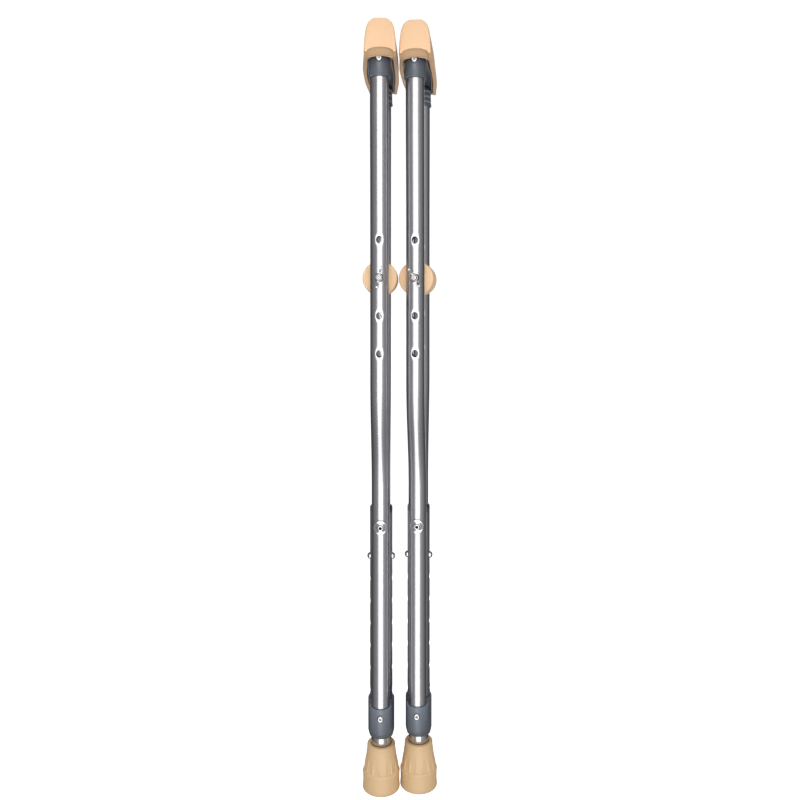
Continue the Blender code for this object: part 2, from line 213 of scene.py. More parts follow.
def mesh_object(name, verts, faces):
    """An object with its normals facing outward."""
    mesh = bpy.data.meshes.new(name)
    mesh.from_pydata(verts, [], faces)
    work = bmesh.new()
    work.from_mesh(mesh)
    bmesh.ops.recalc_face_normals(work, faces=work.faces)
    work.to_mesh(mesh)
    work.free()
    obj = bpy.data.objects.new(name, mesh)
    bpy.context.scene.collection.objects.link(obj)
    return obj


def loft(name, rings, closed=False):
    """Joins rings of equal length by quads. The ends are capped unless the last ring meets the first."""
    count = len(rings[0])
    verts = [point for ring in rings for point in ring]
    faces = []
    spans = len(rings) if closed else len(rings) - 1
    for i in range(spans):
        low = i * count
        high = (i + 1) % len(rings) * count
        for j in range(count):
            k = (j + 1) % count
            faces.append((low + j, low + k, high + k, high + j))
    if not closed:
        faces.append(tuple(range(count)))
        faces.append(tuple(len(verts) - count + j for j in range(count)))
    return mesh_object(name, verts, faces)


def circle(radius, z, segments):
    """Points of a level circle round Z."""
    step = 2 * math.pi / segments
    return [
        (radius * math.cos((i + 0.5) * step), radius * math.sin((i + 0.5) * step), z)
        for i in range(segments)
    ]


def revolved(name, profile, segments, hollow=False):
    """A solid turned about Z from (radius, z) pairs. A hollow one has a closed profile off the axis."""
    return loft(name, [circle(radius, z, segments) for radius, z in profile], closed=hollow)


def rounded(profile, radius, steps=4, closed=True):
    """The profile with its corners rounded, as far as the sides beside each corner leave room."""
    count = len(profile)
    result = []
    for i, corner in enumerate(profile):
        if not closed and i in (0, count - 1):
            result.append(corner)
            continue
        here = Vector(corner)
        before = Vector(profile[i - 1]) - here
        after = Vector(profile[(i + 1) % count]) - here
        reach = min(radius, before.length * 0.45, after.length * 0.45)
        start = here + before.normalized() * reach
        end = here + after.normalized() * reach
        for step in range(steps + 1):
            t = step / steps
            point = start * (1 - t) ** 2 + here * 2 * t * (1 - t) + end * t**2
            result.append((point.x, point.y))
    return result


def smooth_line(points, per_span):
    """A Catmull-Rom line through the points, as a list of pairs."""
    line = []
    last = len(points) - 1
    for i in range(last):
        a = Vector(points[max(0, i - 1)])
        b = Vector(points[i])
        c = Vector(points[i + 1])
        d = Vector(points[min(last, i + 2)])
        for step in range(per_span):
            t = step / per_span
            point = 0.5 * (
                2 * b + (c - a) * t + (2 * a - 5 * b + 4 * c - d) * t**2 + (3 * b - a - 3 * c + d) * t**3
            )
            line.append((point.x, point.y))
    line.append(tuple(points[-1]))
    return line


def turned_to(obj, axis, origin=(0, 0, 0)):
    """Turns the object's Z axis to +X, -X, +Y or -Y and moves it to the origin given."""
    turn = {
        "+X": Matrix.Rotation(math.pi / 2, 4, "Y"),
        "-X": Matrix.Rotation(-math.pi / 2, 4, "Y"),
        "+Y": Matrix.Rotation(-math.pi / 2, 4, "X"),
        "-Y": Matrix.Rotation(math.pi / 2, 4, "X"),
    }[axis]
    obj.data.transform(Matrix.Translation(origin) @ turn)
    return obj


def rod(radius, low, high, segments, axis="+Z", origin=(0, 0, 0)):
    """A cylinder that a Boolean uses."""
    obj = revolved("helper", [(radius, low), (radius, high)], segments)
    if axis == "+Z":
        obj.data.transform(Matrix.Translation(origin))
        return obj
    return turned_to(obj, axis, origin)


def evaluated_mesh(obj):
    """The object's mesh with its modifiers applied."""
    bpy.context.view_layer.update()
    graph = bpy.context.evaluated_depsgraph_get()
    return bpy.data.meshes.new_from_object(obj.evaluated_get(graph))


def combined(obj, operation, others):
    """Applies one exact Boolean per helper and removes the helpers."""
    for other in others:
        modifier = obj.modifiers.new("combine", "BOOLEAN")
        modifier.operation = operation
        modifier.solver = "EXACT"
        modifier.object = other
    mesh = evaluated_mesh(obj)
    obj.modifiers.clear()
    obj.data = mesh
    for other in others:
        bpy.data.objects.remove(other)
    return obj


def cut(obj, *cutters):
    return combined(obj, "DIFFERENCE", cutters)


def joined(obj, *others):
    return combined(obj, "UNION", others)


def softened(obj, width, segments=3, angle_deg=30):
    """Rounds the sharp edges."""
    modifier = obj.modifiers.new("soften", "BEVEL")
    modifier.width = width
    modifier.segments = segments
    modifier.limit_method = "ANGLE"
    modifier.angle_limit = math.radians(angle_deg)
    modifier.harden_normals = False
    mesh = evaluated_mesh(obj)
    obj.modifiers.clear()
    obj.data = mesh
    return obj


def facing(obj, side):
    """Leaves a piece made for the front as it is, or turns it about the column axis to serve at the rear."""
    if side == REAR:
        obj.data.transform(Matrix.Rotation(math.pi, 4, "Z"))
    return obj


def smooth(t):
    """Goes from 0 to 1 as t does, with level ends."""
    t = min(1.0, max(0.0, t))
    return t * t * (3 - 2 * t)


# ---------------------------------------------------------------- bow tubes


def bow_offset(z):
    """How far a bow tube's centre is from the column axis. It grows in the bend and again in the flare."""
    if z <= BEND_HIGH_Z:
        t = (z - BEND_LOW_Z) / (BEND_HIGH_Z - BEND_LOW_Z)
        return BOW_NEAR + (BOW_GRIP - BOW_NEAR) * smooth(t)
    t = (z - FLARE_LOW_Z) / (FLARE_HIGH_Z - FLARE_LOW_Z)
    return BOW_GRIP + (BOW_TOP - BOW_GRIP) * smooth(t)


def bow_heights():
    """Heights of the tube's rings: close together at the pressed holes and in the bend."""
    heights = [BOW_FOOT_Z + (BOW_HEAD_Z - BOW_FOOT_Z) * i / 40 for i in range(41)]
    heights += [BEND_LOW_Z - 8 + i * 4.0 for i in range(39)]
    for hole_z in GRIP_HOLES_Z:
        heights += [hole_z - 10.5 + i * 1.5 for i in range(15)]
    heights.sort()
    kept = [heights[0]]
    for z in heights[1:]:
        if z - kept[-1] > 0.7:
            kept.append(z)
    kept[-1] = BOW_HEAD_Z
    return kept


def pressed(y, z, radius):
    """Where the wall is pressed flat round a grip hole, the surface is no further out than this plane."""
    nearest = min(GRIP_HOLES_Z, key=lambda hole_z: abs(hole_z - z))
    rise = PRESSED_DEPTH * ((z - nearest) / PRESSED_REACH) ** 2
    limit = radius - PRESSED_DEPTH + rise
    return math.copysign(min(abs(y), limit), y)


def bow_ring(radius, z, side):
    """One ring of a bow tube's wall, square to the tube but level at both of its ends."""
    step = 1.0
    slope = (bow_offset(z + step) - bow_offset(z - step)) / (2 * step)
    if z in (BOW_FOOT_Z, BOW_HEAD_Z):
        slope = 0.0
    tilt = Matrix.Rotation(-side * math.atan(slope), 4, "X")
    place = Matrix.Translation((0, side * bow_offset(z), z)) @ tilt
    flat = circle(radius, 0, BOW_SEGMENTS)
    return [tuple(place @ Vector((x, pressed(y, z, radius), 0))) for x, y, _ in flat]


def grip_hole(reach, origin):
    """An upright oval along Y, to cut a grip hole."""
    cutter = rod(1.0, -reach, reach, 32, "+Y")
    oval = Matrix.Diagonal((GRIP_HOLE_HALF_WIDTH, 1, GRIP_HOLE_HALF_HEIGHT, 1))
    cutter.data.transform(Matrix.Translation(origin) @ oval)
    return cutter


def bow_tube(side):
    """A bent tube with four pressed grip holes, and holes for the column's rivet and two short rivets."""
    heights = bow_heights()
    outer = [bow_ring(BOW_RADIUS, z, side) for z in heights]
    inner = [bow_ring(BOW_RADIUS - BOW_WALL, z, side) for z in reversed(heights)]
    tube = loft("tube", outer + inner, closed=True)
    outward = "-Y" if side == FRONT else "+Y"
    cutters = [grip_hole(14.0, (0, side * bow_offset(z), z)) for z in GRIP_HOLES_Z]
    cutters.append(rod(COLUMN_RIVET_HOLE, -14, 14, 32, "+Y", (0, side * BOW_NEAR, COLUMN_RIVET_Z)))
    cutters.append(rod(SHORT_RIVET_HOLE, 6, 14, 24, outward, (0, side * BOW_NEAR, BRACKET_RIVET_Z)))
    cutters.append(rod(SHORT_RIVET_HOLE, 6, 14, 24, outward, (0, side * BOW_TOP, SOCKET_RIVET_Z)))
    return cut(tube, *cutters)


# ---------------------------------------------------------------- column, leg and buttons


def column_tube():
    """The column, with a row of button holes on each side and one hole through it for the rivet."""
    profile = [
        (COLUMN_RADIUS, COLUMN_FOOT_Z),
        (COLUMN_RADIUS, COLUMN_HEAD_Z),
        (COLUMN_BORE, COLUMN_HEAD_Z),
        (COLUMN_BORE, COLUMN_FOOT_Z),
    ]
    tube = revolved("tube", rounded(profile, 0.4, 2), 96, hollow=True)
    heights = [TOP_HOLE_Z - HOLE_PITCH * i for i in range(HOLE_COUNT)]
    holes = [rod(BUTTON_HOLE, -18, 18, 40, "+X", (0, 0, z)) for z in heights]
    holes.append(rod(COLUMN_RIVET_HOLE, -18, 18, 32, "+Y", (0, 0, COLUMN_RIVET_Z)))
    return softened(cut(tube, *holes), 0.3, 2, 50)


def column_cap():
    """A plug with a stem in the column's bore and a round-shouldered head."""
    seat = COLUMN_HEAD_Z + SEAT_GAP
    profile = [
        (0.01, COLUMN_HEAD_Z - CAP_STEM_LENGTH),
        (CAP_STEM_RADIUS, COLUMN_HEAD_Z - CAP_STEM_LENGTH),
        (CAP_STEM_RADIUS, seat),
        (COLUMN_RADIUS, seat),
        (COLUMN_RADIUS, CAP_TOP_Z),
        (0.01, CAP_TOP_Z),
    ]
    stem = rounded(profile[:4], 0.3, 2, closed=False)
    head = rounded(profile[3:], CAP_SHOULDER_RADIUS, 8, closed=False)
    return revolved("cap", stem + head[1:], 64)


def leg_tube():
    """The sliding leg, with a hole on each side for its snap buttons."""
    profile = [
        (LEG_RADIUS, LEG_FOOT_Z),
        (LEG_RADIUS, LEG_HEAD_Z),
        (LEG_BORE, LEG_HEAD_Z),
        (LEG_BORE, LEG_FOOT_Z),
    ]
    tube = revolved("tube", rounded(profile, 0.3, 2), 96, hollow=True)
    return softened(cut(tube, rod(BUTTON_HOLE, -18, 18, 40, "+X", (0, 0, TOP_HOLE_Z))), 0.25, 2, 50)


def dome_line(radius, foot, rise):
    """Outline of a dome from its rim nearly to its crown."""
    angles = [t * math.pi / 20 for t in range(10)]
    return [(radius * math.cos(angle), foot + rise * math.sin(angle)) for angle in angles]


def snap_button(axis):
    """A domed pin with a flange that keeps it inside the leg."""
    shoulder = BUTTON_BASE + BUTTON_FLANGE_THICKNESS
    base = [(0.01, BUTTON_BASE), (BUTTON_FLANGE_RADIUS, BUTTON_BASE)]
    base += [(BUTTON_FLANGE_RADIUS, shoulder), (BUTTON_RADIUS, shoulder)]
    dome = dome_line(BUTTON_RADIUS, BUTTON_TIP - BUTTON_DOME, BUTTON_DOME)
    return turned_to(revolved("button", base + dome + [(0.01, BUTTON_TIP)], 48), axis, (0, 0, TOP_HOLE_Z))


# ---------------------------------------------------------------- fasteners


def saddle_washer(profile, offset, z, side):
    """A round washer bent over a bow tube. Each pair of its profile is a radius and a height of its face."""
    inner = BOW_RADIUS + SADDLE_GAP
    outer = inner + SADDLE_THICKNESS
    face = smooth_line(profile, 4)
    back = [(radius, None) for radius, _ in reversed(face)]
    rings = []
    for radius, height in face + back:
        reach = inner if height is None else outer + height
        ring = []
        for x, dz, _ in circle(radius, 0, 72):
            ring.append((x, -offset - math.sqrt(reach**2 - x**2), z + dz))
        rings.append(ring)
    return facing(loft("washer", rings, closed=True), side)


# faces of the washers: radius, height
DISHED_FACE = [
    (3.3, 0.0),
    (4.3, 0.0),
    (5.2, -0.22),
    (6.4, -0.3),
    (7.4, -0.12),
    (8.2, 0.08),
    (8.7, 0.0),
    (9.0, -0.5),
]
PLAIN_FACE = [(3.3, -0.4), (3.5, 0.0), (5.4, 0.0), (7.0, -0.05), (7.4, -0.3), (7.5, -0.7)]


def washer_face(offset):
    """How far out a head sits on the washer of a bow tube at this offset."""
    return offset + BOW_RADIUS + SADDLE_GAP + SADDLE_THICKNESS + SEAT_GAP


def column_rivet():
    """A tubular rivet with rolled heads."""
    seat = washer_face(BOW_NEAR)
    head = COLUMN_RIVET_HEAD
    crown = seat + 1.8
    half = [(3.0, seat), (head, seat), (head, seat + 0.9)]
    half += [(head - 1.1, crown), (1.9, crown), (1.5, seat + 0.2)]
    profile = rounded(half + [(radius, -y) for radius, y in reversed(half)], 0.5, 4)
    return turned_to(revolved("rivet", profile, 48, hollow=True), "+Y", (0, 0, COLUMN_RIVET_Z))


def short_rivet(offset, z, socket_radius, side):
    """A blind rivet: a rolled, slightly oval head round a small deep hole."""
    head = SHORT_RIVET_HEAD
    seat = offset + socket_radius + SEAT_GAP
    profile = [
        (0.01, -(offset + 7.2)),
        (2.2, -(offset + 7.2)),
        (2.2, -seat),
        (head, -seat),
        (head, -seat - 0.8),
        (head - 1.0, -seat - 2.0),
        (1.7, -seat - 2.0),
        (1.25, -seat - 1.3),
        (1.15, -seat + 3.0),
        (0.01, -seat + 3.0),
    ]
    rivet = revolved("rivet", rounded(profile, 0.6, 4, closed=False), 56)
    rivet.data.transform(Matrix.Diagonal((1.0, SHORT_RIVET_OVAL, 1.0, 1.0)))
    return facing(turned_to(rivet, "+Y", (0, 0, z)), side)


def thread(low, high, pitch=1.0, depth=0.32):
    """Profile of a thread drawn as ridges, from the tip of the bolt to the plain shank."""
    points = []
    y = low
    while y < high:
        points += [(BOLT_RADIUS - depth, y), (BOLT_RADIUS, y + pitch * 0.5)]
        y += pitch
    return points


def grip_bolt():
    """A round-headed bolt, threaded at its front end."""
    seat = washer_face(BOW_GRIP)
    head = BOLT_HEAD_RADIUS
    dome = dome_line(head, seat + 1.0, 2.6)
    end = -seat - 14.0
    profile = [(0.01, end + 1.4), (1.5, end + 0.3), (1.8, end), (BOLT_RADIUS - 0.7, end)]
    profile += thread(-seat - 13.4, -seat + 16.0)
    profile += [(BOLT_RADIUS, seat), (head, seat), *dome, (0.01, seat + 3.6)]
    return turned_to(revolved("bolt", profile, 48), "+Y", (0, 0, GRIP_Z))


# outline of one wing: radius, height
WING_SHAPE = [
    (2.0, 1.2),
    (7.0, 2.2),
    (11.4, 6.4),
    (13.1, 10.6),
    (12.2, 13.0),
    (10.0, 12.6),
    (6.6, 8.4),
    (2.0, 7.6),
]


def wing_nut(turn_deg):
    """A tapered hub with two flared wings."""
    line = rounded([(5.6, 0), (5.6, 1.8), (4.6, 7.6), (4.1, 8.4), (0.01, 8.4)], 0.5, 4, closed=False)
    hub = revolved("nut", [(0.01, 0.0)] + line, 48)
    outline = smooth_line(WING_SHAPE, 4)
    faces = (-WING_HALF_THICKNESS, WING_HALF_THICKNESS)
    wings = []
    for side in (-1, 1):
        rings = [[(side * radius, y, height) for radius, height in outline] for y in faces]
        wings.append(loft("helper", rings))
    nut = cut(joined(hub, *wings), rod(BOLT_RADIUS + 0.15, -2, 12, 40))
    nut = softened(nut, 0.35, 3)
    nut.data.transform(Matrix.Rotation(math.radians(90 + turn_deg), 4, "Z"))
    return turned_to(nut, "-Y", (0, -washer_face(BOW_GRIP), GRIP_Z))


# ---------------------------------------------------------------- handgrip


def handgrip():
    """The foam sleeve: rolled ends, a little fuller towards the middle."""
    end = GRIP_HALF_LENGTH
    straight = end - GRIP_END_ROUND
    slim = GRIP_RADIUS - GRIP_FULLNESS
    half = [(GRIP_BORE, end - 1.2), (GRIP_BORE + 1.2, end), (slim - GRIP_END_ROUND, end)]
    for t in range(1, 9):
        angle = t * math.pi / 16
        radius = slim - GRIP_END_ROUND * (1 - math.sin(angle))
        half.append((radius, straight + GRIP_END_ROUND * math.cos(angle)))
    steps = 14
    body = []
    for i in range(1, steps):
        share = i / steps
        body.append((slim + GRIP_FULLNESS * math.sin(math.pi * share), straight * (1 - 2 * share)))
    profile = half + body + [(radius, -y) for radius, y in reversed(half)]
    return turned_to(revolved("grip", profile, 128, hollow=True), "+Y", (0, 0, GRIP_Z))


# ---------------------------------------------------------------- underarm support and pad


def arch(half_width, spring_z, rise):
    """Half an ellipse that stands on its springing height, from left to right."""
    points = []
    for i in range(ARCH_STEPS + 1):
        angle = math.pi * (1 - i / ARCH_STEPS)
        points.append((half_width * math.cos(angle), spring_z + rise * math.sin(angle)))
    return points


def channel_ring(y, half_width):
    """Section of the channel: an arched plate of even thickness, open below."""
    inside = half_width - FLANGE_THICKNESS
    low = FLANGE_FOOT_Z
    bevel = 0.4
    roof = arch(half_width, CHANNEL_SPRING_Z, CHANNEL_RISE)
    ceiling = arch(inside, CHANNEL_INNER_SPRING_Z, CHANNEL_INNER_RISE)
    outer = [(-half_width, low + bevel), *roof, (half_width, low + bevel)]
    inner = [(half_width - bevel, low), (inside + bevel, low), *reversed(ceiling)]
    inner += [(-inside - bevel, low), (bevel - half_width, low)]
    return [(x, y, z) for x, z in outer + inner]


def channel_half_width(y):
    """The channel is widest in the middle."""
    return CHANNEL_HALF_WIDTH - CHANNEL_TAPER * smooth(abs(y) / CHANNEL_TAPER_LENGTH)


def socket_with_lip():
    """A tube socket that widens a little at its lower edge."""
    wall = [
        (0.01, SOCKET_FOOT_Z),
        (SOCKET_RADIUS - 0.2, SOCKET_FOOT_Z),
        (SOCKET_RADIUS + 0.25, SOCKET_FOOT_Z + 0.5),
        (SOCKET_RADIUS + 0.25, SOCKET_FOOT_Z + 2.6),
        (SOCKET_RADIUS - 0.15, SOCKET_FOOT_Z + 3.6),
        (SOCKET_RADIUS - 0.7, SOCKET_HEAD_Z),
        (0.01, SOCKET_HEAD_Z),
    ]
    return revolved("helper", rounded(wall, 0.5, 3, closed=False), 80)


def underarm_support():
    """The channel under the pad, with a ribbed socket on each bow tube."""
    count = 40
    stations = [SUPPORT_HALF_LENGTH * (2 * i / count - 1) for i in range(count + 1)]
    support = loft("support", [channel_ring(y, channel_half_width(y)) for y in stations])
    solids = []
    bores = []
    for side in (FRONT, REAR):
        centre = (0, side * BOW_TOP, 0)
        outward = "-Y" if side == FRONT else "+Y"
        socket = socket_with_lip()
        socket.data.transform(Matrix.Translation(centre))
        solids.append(socket)
        rib_centre = (0, side * (BOW_TOP - RIB_REACH), 0)
        for rib_z in RIB_HEIGHTS:
            low = rib_z - RIB_HALF_HEIGHT
            solids.append(rod(SOCKET_RADIUS - 0.3, low, rib_z + RIB_HALF_HEIGHT, 64, origin=rib_centre))
        bores.append(rod(SOCKET_BORE, SOCKET_FOOT_Z - 5, SOCKET_BORE_HEAD_Z, 64, origin=centre))
        bores.append(rod(SHORT_RIVET_HOLE, 5, 20, 24, outward, (0, side * BOW_TOP, SOCKET_RIVET_Z)))
    return cut(joined(support, *solids), *bores)


# half of the pad's section from its crown: share of the half-width, share of the height below the top
PAD_SHAPE = [
    (0.0, 0.0),
    (0.2, 0.001),
    (0.39, 0.011),
    (0.57, 0.05),
    (0.715, 0.118),
    (0.82, 0.208),
    (0.885, 0.325),
    (0.935, 0.48),
    (0.97, 0.66),
    (0.995, 0.85),
    (1.0, 0.955),
]


def pad_outer(y, inset, foot_z, slot):
    """Outer line of the pad's section, from one foot over the dome to the other."""
    top_z = PAD_TOP_Z - PAD_SADDLE * (1 - smooth(abs(y) / PAD_HALF_LENGTH))
    full = PAD_HALF_WIDTH - PAD_TAPER * smooth((abs(y) - 25) / 75) - inset
    height = top_z - PAD_FOOT_Z
    half = []
    for share, drop in smooth_line(PAD_SHAPE, 3):
        half.append((share * full, max(top_z - drop * height - inset * (1 - share), foot_z + 1.0)))
    edge = min(1.3, (full - slot) * 0.42)
    foot = [(full - edge * 0.3, foot_z + edge * 0.35), (full - edge, foot_z)]
    return [(-x, z) for x, z in reversed(half + foot)] + half[1:] + foot


def mouth_half(y, slot):
    """Half-width of the opening below: it closes in a half circle in front of each socket."""
    beyond = abs(y) - BOW_TOP
    if beyond <= 0:
        return slot - 0.2
    return min(slot - 0.2, math.sqrt(MOUTH_RADIUS**2 - beyond**2))


def pad_ring(y):
    """Section of the pad: a dome over the channel's slot, which a thin floor partly closes, or over a lip."""
    reach = abs(y)
    lip = smooth((reach - LIP_START) / (PAD_HALF_LENGTH - LIP_START))
    round_off = max(0.0, reach - (PAD_HALF_LENGTH - PAD_END_ROUND)) / PAD_END_ROUND
    inset = PAD_END_INSET * (1 - math.sqrt(max(0.0, 1 - round_off**2)))
    foot_z = PAD_FOOT_Z + PAD_FOOT_RISE * lip
    if reach < LIP_START:
        slot = SLOT_HALF_WIDTH - CHANNEL_TAPER * smooth((reach - 6) / CHANNEL_TAPER_LENGTH)
        mouth = mouth_half(y, slot)
        crown = MOUTH_CROWN * (1 - (mouth / MOUTH_RADIUS) ** 2) if reach > BOW_TOP else 0.0
        floor = [(mouth + 0.3, foot_z + crown), (mouth, foot_z + crown + 0.3)]
        floor += [(mouth + 0.1, foot_z + crown + PAD_FLOOR), (slot, foot_z + PAD_FLOOR)]
        top = arch(slot, SLOT_SPRING_Z, SLOT_RISE)
    else:
        slot = LIP_HALF_WIDTH - 0.6 * lip
        floor = [(slot + 0.5, foot_z), (slot + 0.3, foot_z + 0.1)]
        floor += [(slot + 0.1, foot_z + 0.2), (slot, foot_z + 0.3)]
        top = arch(slot, foot_z + 0.4, 1.2 + 3.9 * lip)
    outer = pad_outer(y, inset, foot_z, slot)
    inner = [*floor, *reversed(top), *[(-x, z) for x, z in reversed(floor)]]
    skew = PAD_SKEW * smooth(-y / PAD_HALF_LENGTH)
    return [(x + skew, y, z) for x, z in outer + inner]


def underarm_pad():
    """Sections are closest together where the mouth below closes and where the ends are rounded off."""
    half = [0, 12, 24, 34, 44, 54, 62, 67, 71.9, 72.1, 74, 76, 78, 79.6, 81, 82.2, 83.4, 84.4, 85.2]
    half += [86.0, 86.7, 87.2, 87.5, 87.6, 88.5, 90, 91.5, 93, 94.5, 96.0, 97.4, 98.1, 98.7, 99.2, 99.6]
    half += [99.85, 100.0]
    stations = [-y for y in reversed(half[1:])] + half
    return loft("pad", [pad_ring(y) for y in stations])


# ---------------------------------------------------------------- bottom bracket and rubber tip


def bracket_socket():
    """A cup with a bowl-shaped foot for the end of one bow tube, still solid."""
    bowl = []
    for t in range(6, 11):
        angle = t * math.pi / 20
        height = BRACKET_BOWL_DEPTH * (1 - math.cos(angle))
        bowl.append((BRACKET_SOCKET_RADIUS * math.sin(angle), BRACKET_SOCKET_FOOT_Z + height))
    rim = [
        (BRACKET_SOCKET_RADIUS, BRACKET_HEAD_Z + 0.2),
        (BRACKET_SOCKET_RADIUS - 0.6, BRACKET_HEAD_Z + 0.8),
        (0.01, BRACKET_HEAD_Z + 0.8),
    ]
    return revolved("helper", [(0.01, bowl[0][1])] + bowl + rim, 80)


def bottom_bracket():
    """A collar round the column with a socket for each bow tube."""
    collar_line = rounded(
        [
            (0.01, BRACKET_FOOT_Z),
            (BRACKET_COLLAR_RADIUS - 1.8, BRACKET_FOOT_Z),
            (BRACKET_COLLAR_RADIUS, BRACKET_FOOT_Z + 7.0),
            (BRACKET_COLLAR_RADIUS, BRACKET_HEAD_Z),
            (0.01, BRACKET_HEAD_Z),
        ],
        1.2,
        5,
        closed=False,
    )
    collar = revolved("bracket", collar_line, 96)
    sockets = []
    bores = []
    for side in (FRONT, REAR):
        centre = (0, side * BOW_NEAR, 0)
        outward = "-Y" if side == FRONT else "+Y"
        socket = bracket_socket()
        socket.data.transform(Matrix.Translation(centre))
        sockets.append(socket)
        bores.append(rod(BRACKET_SOCKET_BORE, BOW_FOOT_Z - BRACKET_FIT, 130, 64, origin=centre))
        bores.append(rod(SHORT_RIVET_HOLE, 5, 20, 24, outward, (0, side * BOW_NEAR, BRACKET_RIVET_Z)))
    bores.append(rod(COLUMN_RADIUS + BRACKET_FIT, COLUMN_FOOT_Z - BRACKET_FIT, 130, 96))
    bores.append(rod(LEG_RADIUS + BRACKET_FIT, 50, 130, 96))
    return cut(joined(collar, *sockets), *bores)


# outside of the rubber tip from its top: radius, height
TIP_WALL = [
    (16.7, 57.0),
    (17.5, 56.4),
    (17.8, 54.6),
    (17.75, 51.6),
    (17.95, 50.4),
    (18.7, 45.0),
    (19.6, 38.5),
    (20.5, 31.5),
    (21.2, 25.6),
    (22.5, 24.3),
    (23.4, 22.6),
    (23.2, 20.0),
    (22.95, 14.0),
    (23.0, 8.0),
    (23.4, 3.6),
    (23.3, 1.4),
    (22.3, 0.0),
]


def flute(angle, z):
    """How far the soft ribs above the base band stand out."""
    rise = smooth((z - FLUTE_FOOT_Z) / 1.5)
    fade = 1 - smooth((z - FLUTE_FADE_Z) / FLUTE_FADE_LENGTH)
    crest = max(0.0, math.cos(angle * FLUTE_COUNT)) ** 2
    return FLUTE_DEPTH * crest * rise * fade


def rubber_tip():
    """A cup for the leg, with soft flutes above the base band and a ring-shaped sole."""
    wall = smooth_line(TIP_WALL, 4)
    bore = TIP_BORE
    inside = [(0.01, 6.3), (bore - 0.6, 6.3), (bore, 6.9), (bore, 56.4), (bore + 0.6, 57.0)]
    sole = [(19.6, 0.0), (19.0, 1.4), (17.6, 1.4), (17.0, 0.0), (14.6, 0.0), (14.0, 1.4), (0.01, 1.4)]
    rings = []
    for radius, z in inside + wall + sole:
        ring = []
        for i in range(TIP_SEGMENTS):
            angle = (i + 0.5) * 2 * math.pi / TIP_SEGMENTS
            r = radius + (flute(angle, z) if radius > TIP_BORE + 1 else 0.0)
            ring.append((r * math.cos(angle), r * math.sin(angle), z))
        rings.append(ring)
    return loft("tip", rings)


# ---------------------------------------------------------------- materials


class Nodes:
    """A material's node tree, with short calls for the nodes used here."""

    def __init__(self, name):
        self.material = bpy.data.materials.new(name)
        self.material.use_nodes = True
        self.tree = self.material.node_tree
        self.shader = self.tree.nodes["Principled BSDF"]
        self.place = self.tree.nodes.new("ShaderNodeTexCoord").outputs["Object"]

    def link(self, output, socket):
        self.tree.links.new(output, socket)

    def noise(self, scale, detail=3.0, stretch=(1, 1, 1)):
        mapping = self.tree.nodes.new("ShaderNodeMapping")
        mapping.inputs["Scale"].default_value = stretch
        self.link(self.place, mapping.inputs["Vector"])
        noise = self.tree.nodes.new("ShaderNodeTexNoise")
        noise.inputs["Scale"].default_value = scale
        noise.inputs["Detail"].default_value = detail
        self.link(mapping.outputs["Vector"], noise.inputs["Vector"])
        return noise.outputs["Fac"]

    def ranged(self, value, low, high, out_low, out_high):
        node = self.tree.nodes.new("ShaderNodeMapRange")
        node.inputs["From Min"].default_value = low
        node.inputs["From Max"].default_value = high
        node.inputs["To Min"].default_value = out_low
        node.inputs["To Max"].default_value = out_high
        self.link(value, node.inputs["Value"])
        return node.outputs["Result"]

    def mixed(self, factor, first, second):
        """A colour between two, each a colour or an output."""
        node = self.tree.nodes.new("ShaderNodeMix")
        node.data_type = "RGBA"
        self.link(factor, node.inputs["Factor"])
        for socket, value in ((node.inputs[6], first), (node.inputs[7], second)):
            if isinstance(value, tuple):
                socket.default_value = (*value, 1.0)
            else:
                self.link(value, socket)
        return node.outputs[2]

    def height(self):
        """The object's own height, in metres."""
        node = self.tree.nodes.new("ShaderNodeSeparateXYZ")
        self.link(self.place, node.inputs["Vector"])
        return node.outputs["Z"]

    def edges(self):
        """About 1 on a sharp outer edge and 0 elsewhere. It marks rubbed wear, and on plastic also a painted
        highlight.
        """
        geometry = self.tree.nodes.new("ShaderNodeNewGeometry")
        return self.ranged(geometry.outputs["Pointiness"], 0.52, 0.60, 0.0, 1.0)

    def colour(self, output):
        self.link(output, self.shader.inputs["Base Color"])

    def roughness(self, output):
        self.link(output, self.shader.inputs["Roughness"])

    def bump(self, value, strength, distance):
        node = self.tree.nodes.new("ShaderNodeBump")
        node.inputs["Strength"].default_value = strength
        node.inputs["Distance"].default_value = distance
        self.link(value, node.inputs["Height"])
        previous = self.shader.inputs["Normal"]
        if previous.is_linked:
            self.link(previous.links[0].from_socket, node.inputs["Normal"])
        self.link(node.outputs["Normal"], previous)


def metal_nodes(name):
    nodes = Nodes(name)
    nodes.shader.inputs["Metallic"].default_value = 1.0
    return nodes


def drawn_aluminium(name, bright, dull, rough_low, rough_high):
    """Anodised tube: faint draw lines along its length, a few smudges."""
    nodes = metal_nodes(name)
    lines = nodes.noise(1.0, 4.0, stretch=(1100, 1100, 9))
    smudge = nodes.noise(22.0, 4.0, stretch=(1, 1, 0.4))
    nodes.colour(nodes.mixed(smudge, bright, dull))
    spread = nodes.tree.nodes.new("ShaderNodeMath")
    spread.operation = "MULTIPLY_ADD"
    nodes.link(lines, spread.inputs[0])
    spread.inputs[1].default_value = 0.35
    nodes.link(smudge, spread.inputs[2])
    nodes.roughness(nodes.ranged(spread.outputs["Value"], 0.35, 1.0, rough_low, rough_high))
    nodes.bump(lines, 0.12, 0.00002)
    return nodes.material


def plated_steel(name):
    """Bright zinc plate with a little haze."""
    nodes = metal_nodes(name)
    haze = nodes.noise(260.0, 4.0)
    nodes.colour(nodes.mixed(haze, (0.78, 0.78, 0.79), (0.62, 0.62, 0.60)))
    nodes.roughness(nodes.ranged(haze, 0.3, 0.7, 0.10, 0.26))
    nodes.bump(nodes.noise(1400.0, 2.0), 0.10, 0.00003)
    return nodes.material


